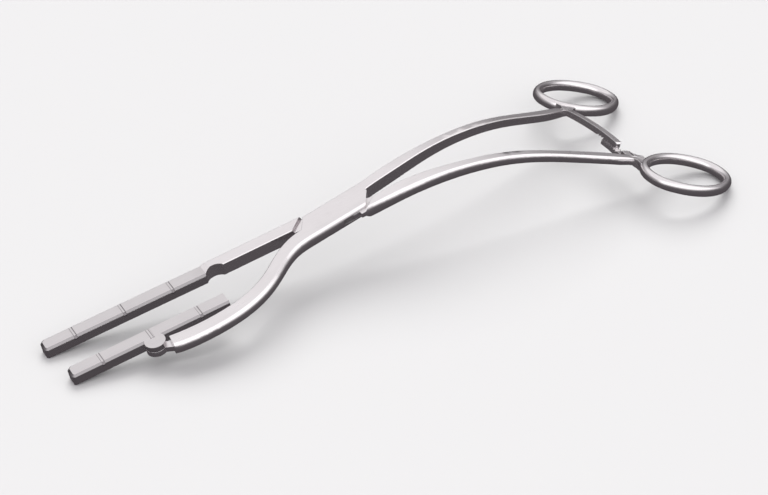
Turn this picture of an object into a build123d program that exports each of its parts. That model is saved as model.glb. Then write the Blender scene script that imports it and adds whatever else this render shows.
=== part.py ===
from build123d import *
import os
from math import asin, cos, degrees, radians, sin, tan

# Aortic clamp, millimetres. Two forged halves cross in a box lock. The box half
# carries a loose jaw that lines itself up; the tongue half carries a fixed jaw.
#
# Both halves are drawn in the same way, each in a frame of its own: the pin axis
# is Z, the jaws point along -X, the finger ring lies at +X, and the top faces lie
# at Z = 0. The half is then turned about the pin into its rest pose.

# Travel of the lock, in degrees between the two halves
REST_ANGLE = 7.6
CLOSE_TRAVEL = 2.0
OPEN_TRAVEL = 30.0

# Box lock
LOCK_LENGTH = 30.4
LOCK_WIDTH = 10.8
LOCK_DEPTH = 5.4
SIDE_BULGE = 1.1
END_SLANT = 50.0
PLATE = 1.65
SHOULDER_SLANT = 42.0
SHOULDER_REACH = 2.7
SHOULDER_RUN = 0.6
TONGUE_RADIUS = 5.2
SLOT_PLAY = 0.15
LAP_PLAY = 0.06
PIN_RADIUS = 2.6
PIN_PLAY = 0.04
EDGE = 0.3

# Shanks: place along the run from the pin to the ring's centre, offset of the
# outer crease, width of the flat top, and depth square to the shank
SHANK = (
    (0.16, 6.05, 4.35, 5.4),
    (0.31, 6.9, 3.75, 5.0),
    (0.46, 8.35, 3.15, 4.3),
    (0.61, 10.4, 3.05, 3.75),
    (0.73, 12.15, 3.15, 3.55),
    (0.82, 13.8, 3.3, 3.5),
    (0.89, 15.2, 2.0, 3.45),
    (0.955, 14.7, 1.5, 3.3),
)
SHANK_ROOT_INNER = 1.0
SHANK_BULGE = 0.29
BEND_START = 31.5
BEND_RADIUS = 128.0
BEND_ANGLE = 27.0

# Finger rings, in the plane of the bent shank
RING_CENTRE_X = 136.9
RING_CENTRE_Y = 26.3
RING_LENGTH = 40.6
RING_WIDTH = 30.4
RING_END_RADIUS = 12.5
RING_WALL = 2.7
RING_BAND = 4.6
RING_ROUND = 0.85
RING_SOFTENING = 0.28
RING_STEM = 3.5
NECK_DEPTH = 3.3
NECK_FILLET = 3.5
NECK_SET_IN = 1.3

# Ratchet: two racks on one circle about the pin
RACK_LEAD = 16.3
RACK_WIDTH = 2.9
UPPER_RACK_DEPTH = 2.5
LOWER_RACK_DEPTH = 2.2
RACK_PLAY = 0.12
UPPER_RACK_REACH = 9.6
LOWER_RACK_REACH = 2.1
RACK_ROOT = 7.1
TOOTH_PITCH = 1.5
TOOTH_DEPTH = 0.7
UPPER_TEETH = 8
LOWER_TEETH = 7
STOP_CLEARANCE = 0.5
RACK_TIP_ROUND = 0.6

# Straight arm and fixed jaw of the tongue half
ARM_INNER = -0.3
ARM_WIDTH = 5.3
ARM_END = 51.3
JAW_LENGTH = 61.0
JAW_ROOT = 2.7
FIXED_JAW_EXTRA = 3.0
JAW_DEPTH = 4.4
JAW_THICKNESS = 5.9
JAW_DROP = 0.7
JAW_BACK = 5.1
JAW_TURN = 0.75
JAW_CHAMFER = 0.75
JAW_TIP = 0.9
JAW_TIP_CAP = 0.9
SCOOP_RADIUS = 4.2
SCOOP_X = 50.5
SCOOP_Y = -2.5

# Grooves across the jaws, measured from the tip
GROOVE_FIRST = 11.1
GROOVE_PITCH = 19.4
GROOVE_COUNT = 3
GROOVE_WIDTH = 1.0
GROOVE_DEPTH = 0.3
GROOVE_NOTCH = 0.45
WIDE_GROOVE = 1.8

# Curved arm of the box half: place along the run from the lock to the arm's end,
# offset of the centre line of its flat top, and width there
CURVE = (
    (0.0, -2.65, 5.5),
    (0.09, -3.4, 5.2),
    (0.21, -6.7, 4.7),
    (0.35, -12.3, 4.6),
    (0.49, -16.0, 4.8),
    (0.65, -17.45, 5.05),
    (0.83, -16.8, 5.1),
    (1.0, -14.1, 4.6),
)
CURVE_DEPTH = 5.1
CURVE_BULGE = 1.3

# Loose jaw on the ear at the end of the curved arm
PIVOT_LEAD = 2.0
PIVOT_Y = -9.6
PIVOT_INSET = 7.4
LUG_RADIUS = 3.85
LUG_DEPTH = 2.15
EAR_REACH = 4.1
EAR_NECK = 3.2
LUG_PLAY = 0.2
SWIVEL_PIN_RADIUS = 1.4
LOOSE_JAW_TURN = -0.4

HALF_LENGTH = LOCK_LENGTH / 2
HALF_WIDTH = LOCK_WIDTH / 2
TONGUE_TOP = -(PLATE + LAP_PLAY)
TONGUE_BOTTOM = -(LOCK_DEPTH - PLATE - LAP_PLAY)
SLOPE = tan(radians(BEND_ANGLE))
BEND_END = BEND_START + BEND_RADIUS * sin(radians(BEND_ANGLE))
EAR_TOP = -(JAW_DROP + LUG_DEPTH + LAP_PLAY)
RACK_RADIUS = RING_CENTRE_X - RACK_LEAD
PIVOT_X = ARM_END + JAW_ROOT + PIVOT_LEAD + JAW_LENGTH / 2
CURVE_END = PIVOT_X - EAR_REACH
FAR = 4 * LOCK_LENGTH


def d_face(plane, width, depth, bulge):
    """Section of a forged arm: flat top, bottom and inner wall, arched outer side."""
    flats = Polyline(
        (width, 0), (EDGE, 0), (0, -EDGE), (0, EDGE - depth), (EDGE, -depth), (width, -depth)
    )
    side = ThreePointArc((width, -depth), (width + bulge, -depth / 2), (width, 0))
    return plane * make_face(flats + side)


def shank_top(x):
    """Height of the shank's top face and its downward slope in radians at x."""
    if x <= BEND_START:
        return 0.0, 0.0
    if x >= BEND_END:
        drop = BEND_RADIUS * (1 - cos(radians(BEND_ANGLE)))
        return -drop - (x - BEND_END) * SLOPE, radians(BEND_ANGLE)
    angle = asin((x - BEND_START) / BEND_RADIUS)
    return -BEND_RADIUS * (1 - cos(angle)), angle


def ring_plane():
    """Middle plane of the ring, with its X along the shank and its Z upwards."""
    top, slope = shank_top(RING_CENTRE_X)
    middle = top - RING_STEM / 2 / cos(slope)
    origin = (RING_CENTRE_X, RING_CENTRE_Y, middle)
    return Plane(
        origin=origin, x_dir=(cos(slope), 0, -sin(slope)), z_dir=(sin(slope), 0, cos(slope))
    )


def shank(root, crease_at_root):
    """Shank of a half whose ring lies at +Y, from the lock to the ring's inner side."""
    sections = [
        d_face(
            Plane(origin=(root, SHANK_ROOT_INNER, 0), x_dir=(0, 1, 0), z_dir=(1, 0, 0)),
            crease_at_root - SHANK_ROOT_INNER,
            LOCK_DEPTH,
            SIDE_BULGE,
        )
    ]
    for share, crease, width, depth in SHANK:
        x = share * RING_CENTRE_X
        top, slope = shank_top(x)
        plane = Plane(
            origin=(x, crease - width, top), x_dir=(0, 1, 0), z_dir=(cos(slope), 0, -sin(slope))
        )
        sections.append(d_face(plane, width, depth, SHANK_BULGE * width))
    return loft(sections)


def oval(length, width, end_radius):
    """Oval of four arcs that run into each other smoothly, its length along X."""
    a, b = length / 2, width / 2
    side_radius = ((a - end_radius) ** 2 + b * b - end_radius**2) / (2 * (b - end_radius))
    drop = side_radius - b
    reach = Vector(a - end_radius, drop).normalized() * side_radius
    x, y = reach.X, reach.Y - drop
    outline = ThreePointArc((x, y), (a, 0), (x, -y)) + ThreePointArc((x, -y), (0, -b), (-x, -y))
    outline += ThreePointArc((-x, -y), (-a, 0), (-x, y)) + ThreePointArc((-x, y), (0, b), (x, y))
    return make_face(outline)


def neck_plan():
    """Web in the corner between shank and ring, with a concave outer edge."""
    _, crease, width, _ = SHANK[-3]
    side = crease + SHANK_BULGE * width / 2 - RING_CENTRE_Y
    end = Vector(RING_END_RADIUS - RING_LENGTH / 2, 0)
    reach = RING_END_RADIUS + NECK_FILLET
    rise = side + NECK_FILLET
    centre = end + Vector(-((reach**2 - rise**2) ** 0.5), rise)
    outward = (centre - end).normalized()
    start = centre - Vector(0, NECK_FILLET)
    finish = centre - outward * NECK_FILLET
    bisector = (start + finish - centre * 2).normalized()
    arc = ThreePointArc(start, centre + bisector * NECK_FILLET, finish)
    in_band = end + outward * (RING_END_RADIUS - RING_WALL / 2)
    further = end + outward.rotate(Axis.Z, 40) * (RING_END_RADIUS - RING_WALL / 2)
    edge = Polyline(
        finish,
        in_band,
        further,
        start + Vector(NECK_FILLET, -NECK_SET_IN),
        start + Vector(-NECK_FILLET / 2, -NECK_SET_IN),
        start,
    )
    return make_face(edge + arc)


def finger_ring():
    """Oval ring, with the web that fills the corner between it and the shank."""
    outer = oval(RING_LENGTH, RING_WIDTH, RING_END_RADIUS)
    hole = oval(
        RING_LENGTH - 2 * RING_WALL, RING_WIDTH - 2 * RING_WALL, RING_END_RADIUS - RING_WALL
    )
    band = extrude(outer - hole, RING_BAND / 2, both=True)
    band = chamfer(band.edges().filter_by(GeomType.CIRCLE), RING_ROUND)
    band = chamfer(band.edges().filter_by(GeomType.CIRCLE), RING_SOFTENING)
    neck = extrude(neck_plan(), NECK_DEPTH / 2, both=True)
    return ring_plane() * (band + neck)


def rack_section(low, high):
    """Section of a rack between two heights over the ring plane, on the rack's circle."""
    slope = radians(BEND_ANGLE)
    top, _ = shank_top(RACK_RADIUS)
    middle = top - RING_STEM / 2 / cos(slope)
    plane = Plane(
        origin=(RACK_RADIUS, 0, middle), x_dir=(cos(slope), 0, -sin(slope)), z_dir=(0, -1, 0)
    )
    half = RACK_WIDTH / 2
    outline = Polyline((-half, low), (half, low), (half, high), (-half, high), close=True)
    return plane * make_face(outline)


def arc_bar(section, start, end):
    """Turns a section about the pin from one bearing to another, in degrees."""
    return Rot(0, 0, start) * revolve(section, Axis.Z, end - start)


def teeth_cut(first, count, low, high, lean):
    """Saw-tooth gashes across a rack, one every TOOTH_PITCH from a bearing on."""
    slope = radians(BEND_ANGLE)
    top, _ = shank_top(RACK_RADIUS)
    middle = top - RING_STEM / 2 / cos(slope)
    step = degrees(TOOTH_PITCH / RACK_RADIUS)
    profile = Polyline((0, high), (TOOTH_PITCH * lean, high), (0, low), close=True)
    plane = Plane(
        origin=(RACK_RADIUS, 0, middle), x_dir=(0, 1, 0), z_dir=(cos(slope), 0, -sin(slope))
    )
    gash = extrude(plane * make_face(profile), RACK_WIDTH, both=True)
    return [Rot(0, 0, first + step * i) * gash for i in range(count)]


def upper_rack():
    """Long rack of the box half, reaching across to the other shank, teeth underneath."""
    section = rack_section(RACK_PLAY, RACK_PLAY + UPPER_RACK_DEPTH)
    bar = arc_bar(section, -UPPER_RACK_REACH, RACK_ROOT)
    tip = bar.faces().sort_by(Axis.Y)[0]
    bar = chamfer(tip.edges(), RACK_TIP_ROUND)
    first = -UPPER_RACK_REACH + degrees(RACK_TIP_ROUND / RACK_RADIUS)
    for gash in teeth_cut(first, UPPER_TEETH, RACK_PLAY + TOOTH_DEPTH, RACK_PLAY - 0.01, 0.9):
        bar -= gash
    return bar


def lower_rack():
    """Short rack of the tongue half, drawn as if its shank lay at +Y, teeth on top."""
    bar = arc_bar(rack_section(-LOWER_RACK_DEPTH, 0), -LOWER_RACK_REACH, RACK_ROOT)
    first = -LOWER_RACK_REACH + degrees(0.4 / RACK_RADIUS)
    for gash in teeth_cut(first, LOWER_TEETH, -TOOTH_DEPTH, 0.01, 0.9):
        bar -= gash
    reach = UPPER_RACK_REACH - REST_ANGLE + CLOSE_TRAVEL + degrees(STOP_CLEARANCE / RACK_RADIUS)
    stop = arc_bar(rack_section(-LOWER_RACK_DEPTH, RING_STEM / 2), reach, RACK_ROOT)
    return bar + stop


def lock_bar(length):
    """Bar with the box lock's section, both sides arched, centred on the pin."""
    flats = Line((-HALF_WIDTH, 0), (HALF_WIDTH, 0)) + Line(
        (-HALF_WIDTH, -LOCK_DEPTH), (HALF_WIDTH, -LOCK_DEPTH)
    )
    wide = HALF_WIDTH + SIDE_BULGE
    for side in (-1, 1):
        flats += ThreePointArc(
            (side * HALF_WIDTH, 0), (side * wide, -LOCK_DEPTH / 2), (side * HALF_WIDTH, -LOCK_DEPTH)
        )
    return extrude(Plane.YZ * make_face(flats), length / 2, both=True)


def wing(angle, base, outer):
    """Plan of the half-strip the tongue fills on its jaw side, turned about the pin."""
    strip = make_face(Polyline((0, base), (-FAR, base), (-FAR, outer), (0, outer), close=True))
    return Rot(0, 0, -angle) * strip


def tongue_slot():
    """Space for the tongue between the plates, over its whole travel."""
    closed = REST_ANGLE - CLOSE_TRAVEL
    opened = REST_ANGLE + OPEN_TRAVEL
    inner = ARM_INNER - SLOT_PLAY
    outer = TONGUE_RADIUS + SLOT_PLAY
    sweep = wing(closed, inner, FAR) - wing(opened, outer, FAR * 2)
    sweep += wing(opened, inner, outer)
    plan = Circle(outer) + sweep
    plan += Rot(0, 0, 180) * sweep
    middle = -LOCK_DEPTH / 2
    return Pos(0, 0, middle) * extrude(plan, LOCK_DEPTH / 2 - PLATE, both=True)


def shoulder_cut():
    """Tool that thins the tongue half between its two slanted shoulders."""
    reach = HALF_LENGTH + SHOULDER_REACH
    slant = radians(SHOULDER_SLANT)
    plane = Plane(
        origin=(-reach, 0, 0), x_dir=(sin(slant), -cos(slant), 0), z_dir=(-cos(slant), -sin(slant), 0)
    )
    rise = -TONGUE_TOP
    lead = SHOULDER_RUN / rise
    span = 2 * reach * sin(slant)
    top = make_face(
        Polyline(
            (-lead, 1),
            (SHOULDER_RUN, TONGUE_TOP),
            (span - SHOULDER_RUN, TONGUE_TOP),
            (span + lead, 1),
            close=True,
        )
    )
    low = Pos(0, -LOCK_DEPTH, 0) * mirror(top, Plane.XZ)
    return extrude(plane * (top + low), FAR, both=True)


def jaw_bar(length):
    """Jaw bar along +X, its blunt tip reaching a little past X = 0, its back face at Y = 0."""
    whole = length + JAW_TIP
    bar = Pos(length - whole / 2, -JAW_THICKNESS / 2, -JAW_DROP - JAW_DEPTH / 2) * Box(
        whole, JAW_THICKNESS, JAW_DEPTH
    )
    upright = bar.edges().filter_by(Axis.Z).group_by(Axis.X)[0]
    bar = chamfer(upright, JAW_TIP_CAP)
    rim = bar.faces().sort_by(Axis.Z)[-1].edges().filter_by(lambda e: e.center().X < length - EDGE)
    bar = chamfer(rim.filter_by(lambda e: e.center().Y < -EDGE), JAW_CHAMFER)
    rest = bar.edges().filter_by(Axis.X).filter_by(lambda e: e.length > length / 2)
    back = rest.filter_by(lambda e: e.center().Y > -EDGE)
    low = rest.filter_by(lambda e: e.center().Z < EDGE - JAW_DROP - JAW_DEPTH)
    return chamfer(ShapeList(set(back) | set(low)), EDGE)


def groove(x, width):
    """Tool for one groove over the top of a jaw, with its deeper notch in the chamfer."""
    cut = Pos(x, -JAW_THICKNESS / 2, -JAW_DROP) * Box(width, JAW_THICKNESS + 2, 2 * GROOVE_DEPTH)
    side = JAW_CHAMFER + 2 * GROOVE_NOTCH
    notch = Pos(x, -JAW_THICKNESS, -JAW_DROP) * Rot(45, 0, 0) * Box(width, 4 * side, side)
    return cut + notch


def fixed_jaw():
    """Fixed jaw bar in the frame of the tongue half, running into the arm's end."""
    length = JAW_LENGTH + FIXED_JAW_EXTRA
    bar = jaw_bar(length)
    for i in range(GROOVE_COUNT):
        bar -= groove(GROOVE_FIRST + GROOVE_PITCH * i, GROOVE_WIDTH)
    bar = Rot(0, 0, -JAW_TURN) * Pos(-length, 0, 0) * bar
    return Pos(-ARM_END - JAW_ROOT + 2 * EDGE, JAW_BACK, 0) * bar


def box_half():
    """The forging with the box, in its own frame."""
    body = lock_bar(LOCK_LENGTH)
    lean = FAR / tan(radians(END_SLANT))
    corner = Polyline((-HALF_LENGTH, 0), (lean - HALF_LENGTH, FAR), (-FAR, FAR), (-FAR, 0), close=True)
    trim = extrude(make_face(corner), 2 * LOCK_DEPTH, both=True)
    body -= trim
    body -= Rot(0, 0, 180) * trim
    body += curved_arm()
    body += shank(HALF_LENGTH, HALF_WIDTH) + finger_ring() + upper_rack()
    body -= tongue_slot()
    body -= Pos(0, 0, -LOCK_DEPTH / 2) * Cylinder(PIN_RADIUS, 2 * LOCK_DEPTH)
    body += ear()
    return body


def curved_arm():
    """Arm that bows round to the ear of the loose jaw, a loft along its centre line."""
    sections = []
    last = len(CURVE) - 1
    run = CURVE_END - HALF_LENGTH
    for i, (place, y, width) in enumerate(CURVE):
        x = HALF_LENGTH + place * run
        ahead = CURVE[min(i + 1, last)]
        behind = CURVE[max(i - 1, 0)]
        along = Vector((behind[0] - ahead[0]) * run, ahead[1] - behind[1], 0).normalized()
        if i == 0:
            along = Vector(-1, 0, 0)
        across = Vector(-along.Y, along.X, 0)
        inner = Vector(-x, y, 0) - across * (width / 2)
        share = min(1, i / 3)
        depth = LOCK_DEPTH + (CURVE_DEPTH - LOCK_DEPTH) * share
        bulge = SIDE_BULGE + (CURVE_BULGE - SIDE_BULGE) * share
        sections.append(d_face(Plane(origin=inner, x_dir=across, z_dir=along), width, depth, bulge))
    return loft(sections)


def ear():
    """Round ear under the lug of the loose jaw, with its neck from the curved arm's end."""
    end = Vector(-CURVE_END + EAR_REACH / 4, CURVE[-1][1] + EDGE)
    pivot = Vector(-PIVOT_X, PIVOT_Y)
    along = (end - pivot).normalized()
    across = Vector(-along.Y, along.X) * (EAR_NECK / 2)
    neck = Polyline(pivot - across, end - across, end + across, pivot + across, close=True)
    plan = make_face(neck) + Pos(pivot) * Circle(LUG_RADIUS)
    low = -CURVE_DEPTH
    plate = extrude(Pos(0, 0, low) * plan, EAR_TOP - low)
    hole = Pos(-PIVOT_X, PIVOT_Y, low) * Cylinder(SWIVEL_PIN_RADIUS, 4 * CURVE_DEPTH)
    return plate - hole


def tongue_half():
    """The forging with the tongue, in its own frame; its ring lies at -Y."""
    arm_back = ARM_INNER + ARM_WIDTH
    drop = -JAW_DROP
    side = Polyline(
        (0, 0),
        (-ARM_END, 0),
        (-ARM_END - JAW_ROOT, drop),
        (-ARM_END - JAW_ROOT, drop - JAW_DEPTH),
        (-ARM_END, -LOCK_DEPTH),
        (0, -LOCK_DEPTH),
        close=True,
    )
    arm = extrude(Plane.XZ * make_face(side), -ARM_WIDTH)
    arm = Pos(0, ARM_INNER, 0) * arm
    long_edges = arm.edges().filter_by(Axis.X).filter_by(lambda e: e.length > ARM_END / 2)
    arm = chamfer(long_edges, EDGE)
    body = arm + fixed_jaw()
    body -= Pos(-SCOOP_X, SCOOP_Y, 0) * Cylinder(SCOOP_RADIUS, 4 * LOCK_DEPTH)
    handle = shank(HALF_LENGTH / 2, SHANK[0][1])
    handle = handle + finger_ring() + lower_rack()
    body += mirror(handle, Plane.XZ)
    body -= shoulder_cut()

    jaw_wing = make_face(
        Polyline(
            (0, ARM_INNER),
            (-ARM_END / 2, ARM_INNER),
            (-ARM_END / 2, arm_back),
            (0, arm_back),
            close=True,
        )
    )
    inner = SHANK_ROOT_INNER + EDGE
    shank_wing = make_face(
        Polyline(
            (0, -ARM_INNER),
            (HALF_LENGTH - SHOULDER_REACH, -ARM_INNER),
            (HALF_LENGTH + SHOULDER_REACH, -inner - SHOULDER_REACH / 4),
            (HALF_LENGTH + SHOULDER_REACH, -arm_back),
            (0, -TONGUE_RADIUS),
            close=True,
        )
    )
    plan = Circle(TONGUE_RADIUS) + jaw_wing + shank_wing
    blade = extrude(Pos(0, 0, TONGUE_BOTTOM) * plan, TONGUE_TOP - TONGUE_BOTTOM)
    body += blade
    body -= Pos(0, 0, -LOCK_DEPTH / 2) * Cylinder(PIN_RADIUS + PIN_PLAY, 2 * LOCK_DEPTH)
    return body


def swivel_jaw():
    """Loose jaw with its lug, in the frame of the box half, before its turn on the pivot."""
    bar = jaw_bar(JAW_LENGTH)
    lug = Pos(JAW_LENGTH / 2, -PIVOT_INSET, -JAW_DROP - LUG_DEPTH / 2) * Cylinder(LUG_RADIUS, LUG_DEPTH)
    bar += lug
    pocket = LUG_RADIUS + LUG_PLAY
    low = -JAW_DROP - LUG_DEPTH
    bar -= Pos(JAW_LENGTH / 2, -PIVOT_INSET, low - JAW_DEPTH / 2) * Cylinder(pocket, JAW_DEPTH)
    for i in range(GROOVE_COUNT):
        wide = WIDE_GROOVE if i == GROOVE_COUNT // 2 else GROOVE_WIDTH
        bar -= groove(GROOVE_FIRST + GROOVE_PITCH * i, wide)
    bar -= Pos(JAW_LENGTH / 2, -PIVOT_INSET, -JAW_DROP) * Cylinder(
        SWIVEL_PIN_RADIUS + PIN_PLAY, 2 * JAW_DEPTH
    )
    bar = Pos(-JAW_LENGTH / 2, PIVOT_INSET, 0) * bar
    return Pos(-PIVOT_X, PIVOT_Y, 0) * Rot(0, 0, LOOSE_JAW_TURN - REST_ANGLE) * bar


def pin(x, y, radius, top, bottom):
    """Plain pin standing on the pin axis or beside it."""
    return Pos(x, y, (top + bottom) / 2) * Cylinder(radius, top - bottom)


def build():
    """Every piece in the rest pose on the floor, by node name."""
    half = REST_ANGLE / 2
    box_side = {
        "box_half": box_half(),
        "box_pin": pin(0, 0, PIN_RADIUS, 0, -LOCK_DEPTH),
        "swivel_jaw": swivel_jaw(),
        "swivel_pin": pin(-PIVOT_X, PIVOT_Y, SWIVEL_PIN_RADIUS, -JAW_DROP, -CURVE_DEPTH),
    }
    pieces = {name: Rot(0, 0, half) * part for name, part in box_side.items()}
    pieces["tongue_half"] = Rot(0, 0, -half) * tongue_half()
    return pieces


def end_pieces(pieces, side):
    """Parts of both halves that lie towards the jaws (-1) or the rings (+1)."""
    space = Pos(side * 2 * FAR, 0, 0) * Box(3 * FAR, 4 * FAR, 4 * FAR)
    return [pieces[name] & space for name in ("box_half", "tongue_half", "swivel_jaw")]


def lowest(ends, tilt):
    """Lowest height of the given parts once tilted."""
    return min((Rot(0, -tilt, 0) * end).bounding_box().min.Z for end in ends if end)


def settle(pieces):
    """Tilts the clamp until jaw tips and rings touch the floor together, then centres it."""
    jaws = end_pieces(pieces, -1)
    rings = end_pieces(pieces, 1)
    first, second = BEND_ANGLE / 4, BEND_ANGLE / 2
    gap_first = lowest(jaws, first) - lowest(rings, first)
    for _ in range(4):
        gap_second = lowest(jaws, second) - lowest(rings, second)
        if abs(gap_second - gap_first) < 1e-9:
            break
        step = gap_second * (second - first) / (gap_second - gap_first)
        first, gap_first, second = second, gap_second, second - step
    tilted = {name: Rot(0, -second, 0) * piece for name, piece in pieces.items()}
    boxes = [piece.bounding_box() for piece in tilted.values()]
    middle_x = (min(b.min.X for b in boxes) + max(b.max.X for b in boxes)) / 2
    middle_y = (min(b.min.Y for b in boxes) + max(b.max.Y for b in boxes)) / 2
    floor = min(b.min.Z for b in boxes)
    move = Pos(-middle_x, -middle_y, -floor)
    return {name: move * piece for name, piece in tilted.items()}


if __name__ == "__main__":
    os.makedirs("parts", exist_ok=True)
    for name, piece in settle(build()).items():
        export_step(piece, "parts/" + name + ".step")
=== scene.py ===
import math

import bmesh
import bpy
from mathutils import Matrix, Quaternion, Vector


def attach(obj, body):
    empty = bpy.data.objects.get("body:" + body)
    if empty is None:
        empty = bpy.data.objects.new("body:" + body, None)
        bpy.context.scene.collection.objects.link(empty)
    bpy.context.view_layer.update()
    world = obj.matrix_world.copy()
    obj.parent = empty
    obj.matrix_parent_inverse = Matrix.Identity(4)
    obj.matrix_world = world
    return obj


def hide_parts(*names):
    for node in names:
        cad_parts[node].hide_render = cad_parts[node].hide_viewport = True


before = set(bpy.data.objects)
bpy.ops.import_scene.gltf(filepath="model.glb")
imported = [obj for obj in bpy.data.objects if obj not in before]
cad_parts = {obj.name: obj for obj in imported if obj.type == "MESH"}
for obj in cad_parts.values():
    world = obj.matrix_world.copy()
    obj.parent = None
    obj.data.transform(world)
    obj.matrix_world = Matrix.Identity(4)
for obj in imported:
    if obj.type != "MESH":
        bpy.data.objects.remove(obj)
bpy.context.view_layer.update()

# An aortic clamp of satin stainless steel on a pale floor, in metres, degrees and linear colours
MM = 0.001

# How the halves lie: the clamp's tilt, half the angle between them, and the middle of the lock's top
TILT = 9.638316
HALF_TURN = 3.8
LOCK_PLACE = Vector((-21.6179, 0.0, 24.7907)) * MM

# Steel as it is brushed, worn bright with a painted highlight on its edges, and stained, and the jaws'
# share of that brightness
STEEL_TINT = (0.80, 0.775, 0.785)
WORN_AND_HIGHLIGHT_TINT = (0.90, 0.885, 0.89)
STAIN_TINT = (0.70, 0.675, 0.68)
JAW_DARKER = 0.85

# Two finishes: the size of a brush line, then the roughness of level faces and of turned ones
FORGED_FINISH = ((7 * MM, 0.25 * MM, 0.25 * MM), 0.30, 0.19)
GROUND_FINISH = ((6 * MM, 0.2 * MM, 0.2 * MM), 0.33, 0.21)

# Edges as they are rounded on the forgings, and on the pins and loose jaw
EDGE_RADIUS = 0.28 * MM
SLIGHT_EDGE = 0.008 * MM
EDGE_SAMPLES = 6

# Where each mark begins and where it is full: by a face's level, an edge's turn or a smudge's strength
LEVEL_RANGE = (0.82, 0.97)
EDGE_RANGE = (0.01, 0.12)
WEAR_RANGE = (0.35, 0.6)
STAIN_RANGE = (0.5, 0.78)

# How large the marks on the steel are, and how much they colour, roughen or raise it
STREAK_SCALE = 3.0
SMUDGE_SIZE = (14 * MM, 9 * MM, 9 * MM)
PIT_SIZE = (0.5 * MM, 0.5 * MM, 0.5 * MM)
STAIN_STRENGTH = 0.35
STREAK_STRENGTH = 0.5
WEAR_AND_HIGHLIGHT_STRENGTH = 0.8
LINE_ROUGHNESS = 0.10
SMUDGE_ROUGHNESS = 0.12
WEAR_SMOOTHNESS = 0.05
GRAIN_MIDDLE = 0.5
PIT_SHARE = 0.5
RELIEF_DEPTH = 0.02 * MM
RELIEF_STRENGTH = 0.35

# How near points are joined, the crease where smooth shading stops, and the slack of a measure
SEAM = 0.001 * MM
SHADE_ANGLE = 33.0
NEAR = 0.02 * MM

# The finger rings: centre and slope in the half's own frame, and the wire they are bent from
RING_CENTRE = (136.9 * MM, 26.3 * MM, -40.010 * MM)
RING_SLOPE = 27.0
WIRE_LENGTH = 37.0 * MM
WIRE_WIDTH = 26.8 * MM
WIRE_END_RADIUS = 10.7 * MM
WIRE_HALF_WALL = 1.8 * MM
WIRE_HALF_BAND = 2.3 * MM
WIRE_SQUARENESS = 2.1
WIRE_STEPS = 144
SECTION_STEPS = 28

# The flat band that the wire takes the place of, and how far its rim is drawn into the wire
BAND_INSIDE = -0.92 * MM
RIM_SHARE = 0.7

# The rack's root, sunk into the shank
ROOT_ACROSS = (-21.0 * MM, -16.2 * MM)
ROOT_ALONG = (-13.4 * MM, -10.4 * MM)
ROOT_END = -12.3 * MM
ROOT_LEVEL = 1.5 * MM

# The webs beside that root: the corner that each fills, the way it runs along the ring and its radius
WEB_CORNERS = (
    ((-16.7 * MM, -13.0 * MM), 1, 4.0 * MM),
    ((-19.9 * MM, -13.0 * MM), -1, 2.5 * MM),
)
WEB_HALF_DEPTH = 1.65 * MM
WEB_OVERLAP = 0.6 * MM
WEB_GAP = 0.1 * MM
WEB_STEPS = 8

# The tongue's slot through the box half, its inside painted dark as shade
SLOT_LOW = -3.78 * MM
SLOT_HIGH = -1.62 * MM
SLOT_SIDE = 6.2 * MM
LOCK_END = 15.0 * MM
SLOT_SHADE_TINT = (0.16, 0.15, 0.155)

# The cheek of the tongue in the lock's open side, and the arched side of the box that it continues
CHEEK_ROOT = 2.9 * MM
CHEEK_START = 4.0 * MM
CHEEK_END = 15.2 * MM
CHEEK_TAPER = 1.6 * MM
CHEEK_INSIDE = 4.5 * MM
CHEEK_LOW = -3.69 * MM
CHEEK_HIGH = -1.71 * MM
CHEEK_STEPS = 6
SIDE_MIDDLE = -2.7 * MM
SIDE_ARCH = 3.864 * MM
SIDE_ARCH_CENTRE = 2.616 * MM

# The thin heads over the pins
HEAD_RISE = 0.015 * MM
HEAD_STEPS = 48
BOX_HEAD_RADIUS = 3.0 * MM
SWIVEL_HEAD_RADIUS = 1.8 * MM
LUG_LEVEL = -0.7 * MM

# The jaws, each placed in its half's own frame
JAW_START = -54.0 * MM
JAW_WIDTH = 5.9 * MM
NOTCH_FOOT = -2.3 * MM
PIVOT_INSET = 7.4 * MM
FIXED_JAW_PLACE = (-53.4 * MM, 5.1 * MM, 0.0)
FIXED_JAW_TURN = -0.75
FIXED_GROOVE = -52.9 * MM
LOOSE_JAW_PLACE = (-86.5 * MM, -9.6 * MM, 0.0)
LOOSE_JAW_TURN = -8.0

# The grooves over the jaws: painted shade along each wall and in the notch, and painted shade on the
# chamfer beside them
GROOVE_PITCH = 19.4 * MM
GROOVE_HALF_WIDTH = 0.5 * MM
LINE_RANGE = (0.1 * GROOVE_HALF_WIDTH, 0.45 * GROOVE_HALF_WIDTH)
LINE_SHADE_STRENGTH = 0.75
NOTCH_RANGE = (0.8 * GROOVE_HALF_WIDTH, GROOVE_HALF_WIDTH)
CHAMFER_SHADE_RANGE = (0.3, 0.5)
GROOVE_SHADE_TINT = (0.22, 0.205, 0.215)
CHAMFER_SHADE_TINT = (0.33, 0.315, 0.325)

# Sky over the far side, by the height of the direction from straight down to straight up
SKY_STOPS = (
    (-1.0, (0.085, 0.076, 0.082)),
    (-0.25, (0.100, 0.090, 0.097)),
    (0.02, (0.130, 0.120, 0.127)),
    (0.22, (0.320, 0.305, 0.315)),
    (0.45, (0.560, 0.545, 0.555)),
    (0.66, (1.060, 1.035, 1.045)),
    (1.0, (0.950, 0.930, 0.940)),
)

# Sky over the camera's side, and how far round it takes to be full
FRONT_STOPS = (
    (-1.0, (0.085, 0.076, 0.082)),
    (-0.25, (0.110, 0.100, 0.107)),
    (0.0, (0.170, 0.158, 0.166)),
    (0.2, (0.750, 0.730, 0.740)),
    (0.4, (1.500, 1.480, 1.490)),
    (0.75, (1.400, 1.380, 1.390)),
    (1.0, (0.950, 0.930, 0.940)),
)
FRONT_SPREAD = 0.45

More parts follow.
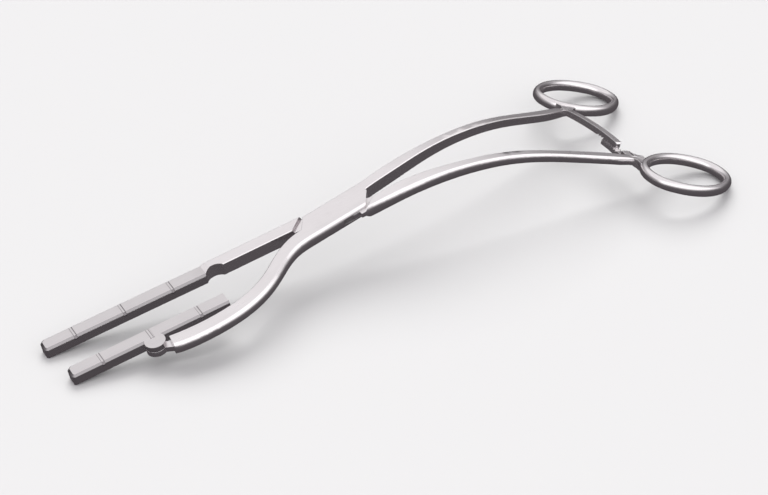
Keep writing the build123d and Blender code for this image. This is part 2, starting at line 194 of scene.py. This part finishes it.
# The softbox, the floor and the dome behind it
SUN_IRRADIANCE = 2.5
SUN_COLOUR = (1.0, 0.995, 0.975)
SUN_ANGLE = 46.0
SUN_FROM = (0.45, 0.8, 1.0)
FLOOR_COLOUR = (0.564, 0.565, 0.571)
FLOOR_STEPS = 96
BACKDROP_COLOUR = (0.875, 0.875, 0.875)
STAGE_RADIUS = 6.0
DOME_STEPS = 48
DOME_ROWS = 12

# The camera, as far off and as long a lens as the photograph shows
CAMERA_PLACE = Vector((-0.3586, -0.5627, 0.4646))
CAMERA_AIM = Vector((-0.0007, -0.0010, 0.0))
CAMERA_ROLL = -1.0
CAMERA_LENS = 100.1
CAMERA_SENSOR = 36.0
CAMERA_NEAREST = 0.01
CAMERA_FARTHEST = 50.0

# The sockets of a Mix node when it mixes colours
MIX_AMOUNT = 0
MIX_FIRST = 6
MIX_SECOND = 7
MIX_RESULT = 2


class Signal:
    """What leaves a shader node, so that sums on it can be written as Python."""

    def __init__(self, graph, socket):
        self.graph = graph
        self.socket = socket

    def _sum(self, operation, first, second):
        return self.graph.node("ShaderNodeMath", {"operation": operation}, {0: first, 1: second})

    def __add__(self, other):
        return self._sum("ADD", self, other)

    def __sub__(self, other):
        return self._sum("SUBTRACT", self, other)

    def __rsub__(self, other):
        return self._sum("SUBTRACT", other, self)

    def __mul__(self, other):
        return self._sum("MULTIPLY", self, other)

    __radd__ = __add__
    __rmul__ = __mul__


class Graph:
    """The node tree of one material, or of the sky."""

    def __init__(self, owner):
        owner.use_nodes = True
        self.tree = owner.node_tree
        self.tree.nodes.clear()

    def node(self, kind, settings=None, inputs=None, output=0):
        """Adds a node with its settings, its ramp stops and what goes into its sockets."""
        made = self.tree.nodes.new(kind)
        for key, value in (settings or {}).items():
            if key == "stops":
                self._stops(made.color_ramp, value)
            else:
                setattr(made, key, value)
        for key, value in (inputs or {}).items():
            if isinstance(value, Signal):
                self.tree.links.new(value.socket, made.inputs[key])
            else:
                made.inputs[key].default_value = value
        if not made.outputs:
            return None
        return Signal(self, made.outputs[output])

    def _stops(self, ramp, stops):
        while len(ramp.elements) < len(stops):
            ramp.elements.new(1.0)
        for element, (place, colour) in zip(ramp.elements, stops):
            element.position = place
            element.color = (*colour, 1.0)

    def blend(self, amount, first, second):
        """Colour between two others, each a signal or a fixed colour."""
        first, second = [c if isinstance(c, Signal) else (*c, 1.0) for c in (first, second)]
        inputs = {MIX_AMOUNT: amount, MIX_FIRST: first, MIX_SECOND: second}
        return self.node("ShaderNodeMix", {"data_type": "RGBA"}, inputs, output=MIX_RESULT)

    def ease(self, value, low, high):
        """0 below low, 1 above high and smooth between them."""
        settings = {"interpolation_type": "SMOOTHSTEP"}
        return self.node("ShaderNodeMapRange", settings, {0: value, 1: low, 2: high})

    def reach(self, first, second):
        """How far one vector reaches along another."""
        settings = {"operation": "DOT_PRODUCT"}
        return self.node("ShaderNodeVectorMath", settings, {0: first, 1: second}, output="Value")

    def grain(self, place, size, detail, roughness=0.5):
        """Noise whose features have the given size along X, Y and Z, in metres."""
        scale = tuple(1.0 / s for s in size)
        stretched = self.node("ShaderNodeMapping", None, {"Vector": place, "Scale": scale})
        inputs = {"Vector": stretched, "Scale": 1.0, "Detail": detail, "Roughness": roughness}
        return self.node("ShaderNodeTexNoise", None, inputs)


def half_frame(side):
    """Own frame of the half whose ring lies at +Y (side 1) or at -Y (side -1)."""
    tilted = Matrix.Rotation(math.radians(-TILT), 4, "Y")
    turned = Matrix.Rotation(math.radians(side * HALF_TURN), 4, "Z")
    return Matrix.Translation(LOCK_PLACE) @ tilted @ turned


def ring_frame(side):
    """Frame of a half's finger ring, its X along the ring and its Z square to it."""
    x, y, z = RING_CENTRE
    slope = Matrix.Rotation(math.radians(RING_SLOPE), 4, "Y")
    return half_frame(side) @ Matrix.Translation((x, side * y, z)) @ slope


def jaw_frame(side, place, turn, groove, back):
    """Frame with its origin over a groove at a jaw's back, and its X along that jaw."""
    turned = Matrix.Rotation(math.radians(turn), 4, "Z")
    return half_frame(side) @ Matrix.Translation(place) @ turned @ Matrix.Translation((groove, back, 0))


def paint_groove_shade(graph, colour, place, height, level, jaw):
    """Colour of a jaw with painted shade in its grooves and on its chamfer, placed by that jaw's frame.
    """
    axes = [jaw.col[axis].xyz for axis in range(3)]
    past, aside, above = [graph.reach(place, axis) - axis.dot(jaw.translation) for axis in axes]
    before_edge = graph.ease(aside, -JAW_WIDTH - NEAR, -JAW_WIDTH)
    over_foot = graph.ease(above, NOTCH_FOOT - NEAR, NOTCH_FOOT)

    # Painted shade: a dark line along each groove wall and darkness in the notch
    beside = graph.node("ShaderNodeMath", {"operation": "PINGPONG"}, {0: past, 1: GROOVE_PITCH / 2})
    wall = graph.node("ShaderNodeMath", {"operation": "ABSOLUTE"}, {0: beside - GROOVE_HALF_WIDTH})
    line = 1.0 - graph.ease(wall, *LINE_RANGE)
    notch = (1.0 - graph.ease(beside, *NOTCH_RANGE)) * (1.0 - level)
    shade = graph.node("ShaderNodeMath", {"operation": "MAXIMUM"}, {0: line * LINE_SHADE_STRENGTH, 1: notch})

    # Painted shade on the slanted chamfer faces
    chamfer_shade = graph.ease(height, *CHAMFER_SHADE_RANGE) * (1.0 - level)
    chamfer_shaded = graph.blend(chamfer_shade, colour, CHAMFER_SHADE_TINT)
    return graph.blend(shade * (before_edge * over_foot), chamfer_shaded, GROOVE_SHADE_TINT)


def steel(name, finish, jaw=None, edge_radius=EDGE_RADIUS, dark=1.0):
    """Stainless steel, brushed where a face is flat and level and polished where it turns down, its
    edges worn bright and given a painted highlight.

    A jaw's frame places painted shade in the grooves and on the chamfer of that jaw.
    """
    line_size, brushed_roughness, polished_roughness = finish
    material = bpy.data.materials.new(name)
    graph = Graph(material)
    place = graph.node("ShaderNodeTexCoord", output="Object")
    facing = graph.node("ShaderNodeTexCoord", output="Normal")
    height = graph.node("ShaderNodeSeparateXYZ", None, {0: facing}, output="Z")
    level = graph.ease(height, *LEVEL_RANGE)

    lines = graph.grain(place, line_size, detail=4.0, roughness=0.6)
    streaks = graph.grain(place, [STREAK_SCALE * size for size in line_size], detail=2.0)
    smudges = graph.grain(place, SMUDGE_SIZE, detail=3.0)
    pits = graph.grain(place, PIT_SIZE, detail=2.0)

    rounded = graph.node("ShaderNodeBevel", {"samples": EDGE_SAMPLES}, {"Radius": edge_radius})
    true = graph.node("ShaderNodeNewGeometry", output="True Normal")
    # Edges worn bright: partly real wear and partly a painted highlight along the turned edges
    wear_and_highlight = graph.ease(1.0 - graph.reach(rounded, true), *EDGE_RANGE) * graph.ease(smudges, *WEAR_RANGE)

    steel_tint, worn_tint, stain_tint = [
        tuple(dark * part for part in tint) for tint in (STEEL_TINT, WORN_AND_HIGHLIGHT_TINT, STAIN_TINT)
    ]
    stained = graph.blend(graph.ease(smudges, *STAIN_RANGE) * STAIN_STRENGTH, steel_tint, stain_tint)
    brushed = graph.blend(level * (streaks * STREAK_STRENGTH), stained, worn_tint)
    # Wear and painted highlight on the edges
    colour = graph.blend(wear_and_highlight * WEAR_AND_HIGHLIGHT_STRENGTH, brushed, WORN_AND_HIGHLIGHT_TINT)
    if jaw is not None:
        # Painted shade in the jaw's grooves and on its chamfer
        colour = paint_groove_shade(graph, colour, place, height, level, jaw)

    roughness = polished_roughness + level * (brushed_roughness - polished_roughness)
    roughness = roughness + (lines - GRAIN_MIDDLE) * LINE_ROUGHNESS
    roughness = roughness + (smudges - GRAIN_MIDDLE) * SMUDGE_ROUGHNESS - wear_and_highlight * WEAR_SMOOTHNESS

    relief = level * lines + (1.0 - level) * (pits * PIT_SHARE)
    normal = graph.node(
        "ShaderNodeBump",
        None,
        {"Height": relief, "Distance": RELIEF_DEPTH, "Strength": RELIEF_STRENGTH, "Normal": rounded},
    )
    shader = graph.node(
        "ShaderNodeBsdfPrincipled",
        None,
        {"Base Color": colour, "Metallic": 1.0, "Roughness": roughness, "Normal": normal},
    )
    graph.node("ShaderNodeOutputMaterial", None, {"Surface": shader})
    return material


def plain(name, colour, glowing=False):
    """Matt surface of one colour, or one that glows evenly."""
    material = bpy.data.materials.new(name)
    graph = Graph(material)
    if glowing:
        shader = graph.node("ShaderNodeEmission", None, {"Color": (*colour, 1.0)})
    else:
        inputs = {"Base Color": (*colour, 1.0), "Roughness": 1.0, "Specular IOR Level": 0.0}
        shader = graph.node("ShaderNodeBsdfPrincipled", None, inputs)
    graph.node("ShaderNodeOutputMaterial", None, {"Surface": shader})
    return material


def circle(radius, steps, level):
    """Points round a circle about Z."""
    turns = [2 * math.pi * i / steps for i in range(steps)]
    return [Vector((radius * math.cos(turn), radius * math.sin(turn), level)) for turn in turns]


def walls(start, count):
    """Faces between a closed row of points and the next row, by their numbers."""
    faces = []
    for i in range(count):
        near, far = start + i, start + (i + 1) % count
        faces.append((near, far, count + far, count + near))
    return faces


def mesh_of(name, points, faces):
    mesh = bpy.data.meshes.new(name)
    mesh.from_pydata(points, [], faces)
    return mesh


def set_down(name, mesh, materials):
    """Puts a mesh in the scene with its materials."""
    for material in materials:
        mesh.materials.append(material)
    piece = bpy.data.objects.new(name, mesh)
    bpy.context.scene.collection.objects.link(piece)
    return piece


def soften(piece):
    """Joins a piece's faces at their seams and shades it smooth up to the real creases."""
    tree = bpy.data.node_groups.new(piece.name + "_shading", "GeometryNodeTree")
    for way in ("INPUT", "OUTPUT"):
        tree.interface.new_socket("Geometry", in_out=way, socket_type="NodeSocketGeometry")
    start = tree.nodes.new("NodeGroupInput")
    merge = tree.nodes.new("GeometryNodeMergeByDistance")
    merge.inputs["Distance"].default_value = SEAM
    bare = tree.nodes.new("GeometryNodeRemoveAttribute")
    bare.inputs["Name"].default_value = "custom_normal"
    faces = tree.nodes.new("GeometryNodeSetShadeSmooth")
    angle = tree.nodes.new("GeometryNodeInputMeshEdgeAngle")
    gentle = tree.nodes.new("FunctionNodeCompare")
    gentle.operation = "LESS_THAN"
    gentle.inputs["B"].default_value = math.radians(SHADE_ANGLE)
    creases = tree.nodes.new("GeometryNodeSetShadeSmooth")
    creases.domain = "EDGE"
    end = tree.nodes.new("NodeGroupOutput")
    chain = (start, merge, bare, faces, creases, end)
    for before, after in zip(chain, chain[1:]):
        tree.links.new(before.outputs[0], after.inputs[0])
    tree.links.new(angle.outputs["Unsigned Angle"], gentle.inputs["A"])
    tree.links.new(gentle.outputs[0], creases.inputs["Shade Smooth"])
    piece.modifiers.new("shading", "NODES").node_group = tree


def wire_oval():
    """Oval of a ring's centre line, whose ends and sides are arcs.

    Gives how far the ends' centres lie from the middle, the sides' radius and how far their
    centres lie from the middle.
    """
    reach = WIRE_LENGTH / 2 - WIRE_END_RADIUS
    half = WIRE_WIDTH / 2
    side = (reach**2 + half**2 - WIRE_END_RADIUS**2) / (2 * (half - WIRE_END_RADIUS))
    return reach, side, side - half


def beside_wire(x, y):
    """Distance from a ring's centre line to a point in its plane, and the way outward there."""
    reach, side, drop = wire_oval()
    corner = Vector((abs(x), abs(y)))
    centre, radius = Vector((0, -drop)), side
    if (corner.x - reach) * drop > corner.y * reach:
        centre, radius = Vector((reach, 0)), WIRE_END_RADIUS
    arm = corner - centre
    out = arm.normalized()
    return arm.length - radius, Vector((math.copysign(out.x, x), math.copysign(out.y, y)))


def in_band(spot):
    """Whether a point in a ring's frame belongs to the flat band of its solid."""
    gap, _ = beside_wire(spot.x, spot.y)
    return BAND_INSIDE < gap < WIRE_HALF_WALL + NEAR and abs(spot.z) < WIRE_HALF_BAND + NEAR


def rounded_share(share):
    """Cosine or sine of an ellipse, filled out a little towards a rounded oblong."""
    return math.copysign(abs(share) ** (2 / WIRE_SQUARENESS), share)


def add_wire(shape, ring):
    """Bends the round wire of a finger ring, as a closed tube."""
    reach, side, drop = wire_oval()
    rows = []
    for i in range(WIRE_STEPS):
        turn = 2 * math.pi * i / WIRE_STEPS
        out = Vector((math.cos(turn), math.sin(turn)))
        centre, radius = Vector((0, -math.copysign(drop, out.y))), side
        if abs(out.x) > reach / math.hypot(reach, drop):
            centre, radius = Vector((math.copysign(reach, out.x), 0)), WIRE_END_RADIUS
        row = []
        for j in range(SECTION_STEPS):
            lean = 2 * math.pi * j / SECTION_STEPS
            flat = centre + out * (radius + WIRE_HALF_WALL * rounded_share(math.cos(lean)))
            rise = WIRE_HALF_BAND * rounded_share(math.sin(lean))
            row.append(shape.verts.new(ring @ Vector((flat.x, flat.y, rise))))
        rows.append(row)
    for i in range(WIRE_STEPS):
        near, far = rows[i - 1], rows[i]
        for j in range(SECTION_STEPS):
            shape.faces.new((near[j - 1], far[j - 1], far[j], near[j]))


def add_web(shape, ring, side, corner, way, radius):
    """Fills a corner beside the rack's root with a flat web that ends in a hollow curve.

    On the box half the web keeps to the upper side, clear of the other rack.
    """
    x, y = corner
    edge = [(x, y + WEB_OVERLAP), (x, y), (x, y - radius)]
    for i in range(1, WEB_STEPS):
        turn = math.pi / 2 * i / WEB_STEPS
        edge.append((x + way * radius * (1 - math.cos(turn)), y - radius * (1 - math.sin(turn))))
    edge += [(x + way * radius, y), (x + way * radius, y + WEB_OVERLAP)]
    low_level = WEB_GAP if side > 0 else -WEB_HALF_DEPTH
    low, high = [
        [shape.verts.new(ring @ Vector((a, side * b, z))) for a, b in edge]
        for z in (low_level, WEB_HALF_DEPTH)
    ]
    made = [shape.faces.new(low), shape.faces.new(list(reversed(high)))]
    for i in range(len(edge)):
        made.append(shape.faces.new((low[i - 1], high[i - 1], high[i], low[i])))
    bmesh.ops.recalc_face_normals(shape, faces=made)


def mark_faces(shape, side):
    """Gives the second material to the slot of the box half, where it is painted shade, or to the jaw of
    the tongue half.
    """
    half = half_frame(side).inverted()
    for face in shape.faces:
        centre = half @ face.calc_center_median()
        if side > 0:
            level = SLOT_LOW < centre.z < SLOT_HIGH
            second = level and abs(centre.x) < LOCK_END and abs(centre.y) < SLOT_SIDE
        else:
            second = centre.x < JAW_START
        face.material_index = int(second)


def sink_root(shape, ring, side, band):
    """Sinks the end of the rack's root into the shank, where it isn't part of the band."""
    flat = ring.inverted()
    for vert in shape.verts:
        spot = flat @ vert.co
        across = ROOT_ACROSS[0] < spot.x < ROOT_ACROSS[1]
        along = ROOT_ALONG[0] < side * spot.y < ROOT_ALONG[1]
        if across and along and abs(spot.z) > WEB_HALF_DEPTH and vert not in band:
            sunk = side * min(side * spot.y, ROOT_END)
            vert.co = ring @ Vector((spot.x, sunk, math.copysign(ROOT_LEVEL, spot.z)))


def cut_band(shape, ring, band):
    """Takes the band out and draws the rims that are left into the middle of the wire."""
    faces = [face for face in shape.faces if band.issuperset(face.verts)]
    bmesh.ops.delete(shape, geom=faces, context="FACES")
    flat = ring.inverted()
    rim = [edge for edge in shape.edges if edge.is_boundary]
    for vert in {vert for edge in rim for vert in edge.verts}:
        spot = flat @ vert.co
        gap, out = beside_wire(spot.x, spot.y)
        vert.co = ring @ Vector((spot.x - out.x * gap, spot.y - out.y * gap, RIM_SHARE * spot.z))
    bmesh.ops.holes_fill(shape, edges=rim)


def forging(node, side, body, materials):
    """One half of the clamp, the flat band of its finger ring made into round wire."""
    shape = bmesh.new()
    shape.from_mesh(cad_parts[node].data)
    shape.transform(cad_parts[node].matrix_world)
    bmesh.ops.remove_doubles(shape, verts=shape.verts, dist=SEAM)
    mark_faces(shape, side)

    ring = ring_frame(side)
    flat = ring.inverted()
    band = {vert for vert in shape.verts if in_band(flat @ vert.co)}
    sink_root(shape, ring, side, band)
    cut_band(shape, ring, band)
    add_wire(shape, ring)
    for corner, way, radius in WEB_CORNERS:
        add_web(shape, ring, side, corner, way, radius)

    mesh = bpy.data.meshes.new(node + "_shape")
    shape.to_mesh(mesh)
    shape.free()
    piece = set_down(node + "_shape", mesh, materials)
    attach(piece, body)
    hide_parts(node)
    soften(piece)


def fitted(name, points, faces, material, body):
    """Piece fitted over a forging, moving with its body."""
    piece = set_down(name, mesh_of(name, points, faces), [material])
    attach(piece, body)
    soften(piece)


def cheek(material):
    """Flank of the tongue that fills the lock's open side, flush with the box at rest."""
    place = half_frame(1)
    points = []
    for x, sunk in ((CHEEK_ROOT, CHEEK_TAPER), (CHEEK_START, 0), (CHEEK_END, 0)):
        for i in range(CHEEK_STEPS + 1):
            z = CHEEK_LOW + (CHEEK_HIGH - CHEEK_LOW) * i / CHEEK_STEPS
            bulge = math.sqrt(SIDE_ARCH**2 - (z - SIDE_MIDDLE) ** 2)
            points.append(place @ Vector((x, sunk - SIDE_ARCH_CENTRE - bulge, z)))
        points.append(place @ Vector((x, -CHEEK_INSIDE, CHEEK_HIGH)))
        points.append(place @ Vector((x, -CHEEK_INSIDE, CHEEK_LOW)))
    count = CHEEK_STEPS + 3
    faces = [tuple(range(count)), tuple(range(3 * count - 1, 2 * count - 1, -1))]
    for start in (0, count):
        faces += [tuple(reversed(wall)) for wall in walls(start, count)]
    fitted("tongue_cheek", points, faces, material, "tongue_side")


def pin_head(name, place, radius, material, body):
    """Head of a pin, peened over and ground all but flush with the face around it."""
    points = []
    for rise in (-HEAD_RISE, HEAD_RISE):
        points += [place @ spot for spot in circle(radius, HEAD_STEPS, rise)]
    faces = [tuple(range(HEAD_STEPS - 1, -1, -1)), tuple(range(HEAD_STEPS, 2 * HEAD_STEPS))]
    faces += walls(0, HEAD_STEPS)
    fitted(name, points, faces, material, body)


def dress(node, material):
    """Gives the loose jaw or a pin its finish."""
    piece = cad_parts[node]
    piece.data.materials.clear()
    piece.data.materials.append(material)
    soften(piece)


def stage_piece(name, points, faces, material):
    """Floor or backdrop that the steel doesn't mirror."""
    piece = set_down(name, mesh_of(name, points, faces), [material])
    piece.visible_glossy = False
    return piece


def floor():
    """Round pale floor, out to the foot of the dome."""
    rim = circle(STAGE_RADIUS, FLOOR_STEPS, 0)
    stage_piece("floor", rim, [tuple(range(FLOOR_STEPS))], plain("floor_paint", FLOOR_COLOUR))


def backdrop():
    """Evenly lit dome behind everything, seen only by the camera."""
    points = []
    for row in range(DOME_ROWS + 1):
        rise = math.pi / 2 * row / DOME_ROWS
        points += circle(STAGE_RADIUS * math.cos(rise), DOME_STEPS, STAGE_RADIUS * math.sin(rise))
    faces = [face for row in range(DOME_ROWS) for face in walls(row * DOME_STEPS, DOME_STEPS)]
    glow = plain("backdrop_glow", BACKDROP_COLOUR, glowing=True)
    dome = stage_piece("backdrop", points, faces, glow)
    dome.visible_diffuse = False
    dome.visible_transmission = False
    dome.visible_shadow = False


def sky():
    """Studio that is dark below and bright overhead, most of all on the camera's side."""
    world = bpy.data.worlds.new("studio")
    bpy.context.scene.world = world
    graph = Graph(world)
    direction = graph.node("ShaderNodeTexCoord", output="Generated")
    height = graph.node("ShaderNodeSeparateXYZ", None, {0: direction}, output="Z")
    across = graph.node("ShaderNodeSeparateXYZ", None, {0: direction}, output="Y")
    far, near = [
        graph.node(
            "ShaderNodeValToRGB",
            {"stops": [((z + 1) / 2, colour) for z, colour in stops]},
            {0: (height + 1.0) * 0.5},
        )
        for stops in (SKY_STOPS, FRONT_STOPS)
    ]
    colour = graph.blend(graph.ease(0.0 - across, 0.0, FRONT_SPREAD), far, near)
    glow = graph.node("ShaderNodeBackground", None, {"Color": colour, "Strength": 1.0})
    graph.node("ShaderNodeOutputWorld", None, {"Surface": glow})


def turned_object(name, data, turn):
    """Light or camera, turned by a quaternion."""
    made = bpy.data.objects.new(name, data)
    made.rotation_mode = "QUATERNION"
    made.rotation_quaternion = turn
    bpy.context.scene.collection.objects.link(made)
    return made


def sun():
    """Wide soft light from above and behind, which the steel doesn't mirror."""
    light = bpy.data.lights.new("softbox", "SUN")
    light.energy = SUN_IRRADIANCE
    light.color = SUN_COLOUR
    light.angle = math.radians(SUN_ANGLE)
    lamp = turned_object("softbox", light, Vector(SUN_FROM).to_track_quat("Z", "Y"))
    lamp.visible_glossy = False


def camera():
    """Long lens, aimed at the middle of the clamp."""
    data = bpy.data.cameras.new("camera")
    data.lens = CAMERA_LENS
    data.sensor_width = CAMERA_SENSOR
    data.clip_start = CAMERA_NEAREST
    data.clip_end = CAMERA_FARTHEST
    ahead = (CAMERA_AIM - CAMERA_PLACE).to_track_quat("-Z", "Y")
    rolled = ahead @ Quaternion((0, 0, 1), math.radians(CAMERA_ROLL))
    made = turned_object("camera", data, rolled)
    made.location = CAMERA_PLACE
    bpy.context.scene.camera = made


loose_jaw = jaw_frame(1, LOOSE_JAW_PLACE, LOOSE_JAW_TURN, 0.0, PIVOT_INSET)
fixed_jaw = jaw_frame(-1, FIXED_JAW_PLACE, FIXED_JAW_TURN, FIXED_GROOVE, 0.0)
satin_steel = steel("satin_steel", FORGED_FINISH)
fixed_jaw_steel = steel("fixed_jaw_steel", GROUND_FINISH, jaw=fixed_jaw, dark=JAW_DARKER)
loose_jaw_steel = steel(
    "loose_jaw_steel", GROUND_FINISH, jaw=loose_jaw, edge_radius=SLIGHT_EDGE, dark=JAW_DARKER
)
pin_steel = steel("pin_steel", FORGED_FINISH, edge_radius=SLIGHT_EDGE)
lug_steel = steel("lug_steel", GROUND_FINISH, edge_radius=SLIGHT_EDGE, dark=JAW_DARKER)
# Matt dark colour painted inside the slot as its shade
slot_steel = plain("slot_steel", SLOT_SHADE_TINT)

forging("box_half", 1, "box_side", [satin_steel, slot_steel])
forging("tongue_half", -1, "tongue_side", [satin_steel, fixed_jaw_steel])
cheek(satin_steel)
lock_top = half_frame(1)
pin_head("box_pin_head", lock_top, BOX_HEAD_RADIUS, pin_steel, "box_side")
lug_top = lock_top @ Matrix.Translation(LOOSE_JAW_PLACE) @ Matrix.Translation((0, 0, LUG_LEVEL))
pin_head("swivel_pin_head", lug_top, SWIVEL_HEAD_RADIUS, lug_steel, "box_side")
dress("swivel_jaw", loose_jaw_steel)
dress("box_pin", pin_steel)
dress("swivel_pin", pin_steel)

floor()
backdrop()
sky()
sun()
camera()
bpy.context.scene.view_settings.view_transform = "Standard"
